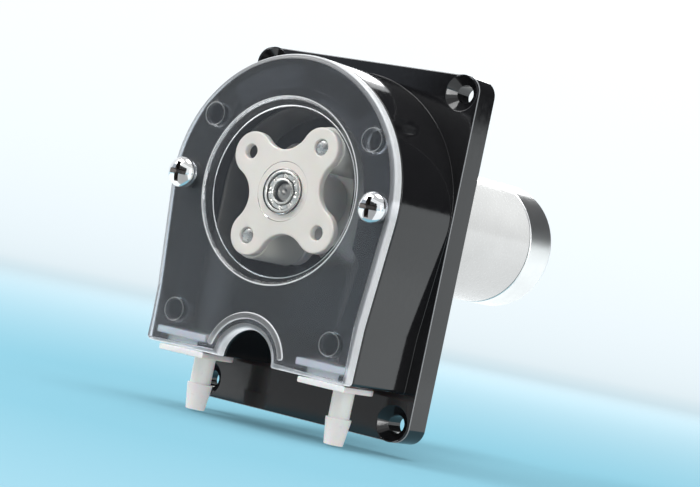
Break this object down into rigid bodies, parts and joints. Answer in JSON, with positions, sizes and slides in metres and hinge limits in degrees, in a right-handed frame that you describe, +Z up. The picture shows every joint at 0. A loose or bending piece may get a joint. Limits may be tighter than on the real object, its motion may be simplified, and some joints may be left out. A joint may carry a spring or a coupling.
{
  "type": "peristaltic pump",
  "caption": "Flange-mounted peristaltic pump: arched black head, frosted cover with clear window, roller rotor, barbed tube connectors and a cylindrical gearmotor.",
  "frame": {"origin": "where the rotor and motor axis meets the flange's panel face", "axes": "+Y along the motor axis, out of the panel face towards the motor; +Z up, away from the tube connectors; +X to the right seen from the cover"},
  "size_m": [0.0656, 0.1102, 0.09],
  "materials": {
    "black_plastic": "polished moulded black",
    "cover_plastic": "frosted translucent, clear polished window",
    "natural_plastic": "satin moulded white",
    "ivory_plastic": "satin moulded ivory white",
    "roller_plastic": "satin moulded white",
    "gear_plastic": "satin moulded white",
    "white_plastic": "semi-gloss moulded white",
    "white_paint": "semi-gloss white paint",
    "tube_rubber": "matt black",
    "chrome_steel": "bright plated",
    "ground_steel": "ground",
    "sintered_bronze": "matt sintered",
    "copper": "enamelled copper",
    "ferrite": "matt dark grey",
    "carbon": "matt black",
    "brass": "bright"
  },
  "bodies": {
    "pump_body": {"pump_housing": "black_plastic", "front_cover": "cover_plastic", "cover_screw_left": "chrome_steel", "cover_screw_right": "chrome_steel", "tube_connector_left": "natural_plastic", "tube_connector_right": "natural_plastic", "pump_tube": "tube_rubber", "gearbox_housing": "white_plastic", "ring_gear": "ground_steel", "output_bush": "sintered_bronze", "gearbox_screw_1": "ground_steel", "gearbox_screw_2": "ground_steel", "gearbox_screw_3": "ground_steel", "gearbox_end_plate": "ground_steel", "motor_screw_left": "ground_steel", "motor_screw_right": "ground_steel", "motor_can": "white_paint", "motor_front_bush": "sintered_bronze", "motor_rear_bush": "sintered_bronze", "motor_magnet_left": "ferrite", "motor_magnet_right": "ferrite", "motor_rear_cap": "chrome_steel", "brush_holder": "black_plastic", "brush_left": "carbon", "brush_right": "carbon", "motor_terminal_left": "brass", "motor_terminal_right": "brass", "bearing_outer_race": "ground_steel"},
    "rotor": {"rotor_front_plate": "ivory_plastic", "rotor_rear_plate": "ivory_plastic", "output_shaft": "ground_steel", "roller_pin_upper": "ground_steel", "roller_pin_lower": "ground_steel", "bearing_inner_race": "ground_steel", "planet_pin_1": "ground_steel", "planet_pin_2": "ground_steel", "planet_pin_3": "ground_steel"},
    "roller_upper": {"roller_upper": "roller_plastic"},
    "roller_lower": {"roller_lower": "roller_plastic"},
    "ball_cage": {"bearing_ball_cage": "ground_steel"},
    "motor_rotor": {"motor_shaft": "ground_steel", "armature_core": "ground_steel", "armature_winding": "copper", "commutator": "copper", "sun_gear": "ground_steel"},
    "planet_1": {"planet_gear_1": "gear_plastic"},
    "planet_2": {"planet_gear_2": "gear_plastic"},
    "planet_3": {"planet_gear_3": "gear_plastic"}
  },
  "joints": [
    {"name": "rotor_spin", "type": "hinge", "parent": "pump_body", "child": "rotor", "pos_m": [0, 0, 0], "axis": [0, 1, 0], "continuous": true},
    {"name": "roller_upper_spin", "type": "hinge", "parent": "rotor", "child": "roller_upper", "pos_m": [0.00794, 0, 0.0116], "axis": [0, 1, 0], "continuous": true},
    {"name": "roller_lower_spin", "type": "hinge", "parent": "rotor", "child": "roller_lower", "pos_m": [-0.00794, 0, -0.0116], "axis": [0, 1, 0], "continuous": true},
    {"name": "ball_cage_spin", "type": "hinge", "parent": "pump_body", "child": "ball_cage", "pos_m": [0, 0, 0], "axis": [0, 1, 0], "continuous": true},
    {"name": "motor_spin", "type": "hinge", "parent": "pump_body", "child": "motor_rotor", "pos_m": [0, 0, 0], "axis": [0, 1, 0], "continuous": true},
    {"name": "planet_1_spin", "type": "hinge", "parent": "rotor", "child": "planet_1", "pos_m": [0, 0, 0.0075], "axis": [0, 1, 0], "continuous": true},
    {"name": "planet_2_spin", "type": "hinge", "parent": "rotor", "child": "planet_2", "pos_m": [-0.00649, 0, -0.00375], "axis": [0, 1, 0], "continuous": true},
    {"name": "planet_3_spin", "type": "hinge", "parent": "rotor", "child": "planet_3", "pos_m": [0.00649, 0, -0.00375], "axis": [0, 1, 0], "continuous": true}
  ],
  "couplings": [
    {"joint": "roller_upper_spin", "follows": "rotor_spin", "ratio": -3.75},
    {"joint": "roller_lower_spin", "follows": "rotor_spin", "ratio": -3.75},
    {"joint": "ball_cage_spin", "follows": "rotor_spin", "ratio": 0.4094},
    {"joint": "motor_spin", "follows": "rotor_spin", "ratio": 5},
    {"joint": "planet_1_spin", "follows": "rotor_spin", "ratio": -2.6667},
    {"joint": "planet_2_spin", "follows": "rotor_spin", "ratio": -2.6667},
    {"joint": "planet_3_spin", "follows": "rotor_spin", "ratio": -2.6667}
  ]
}
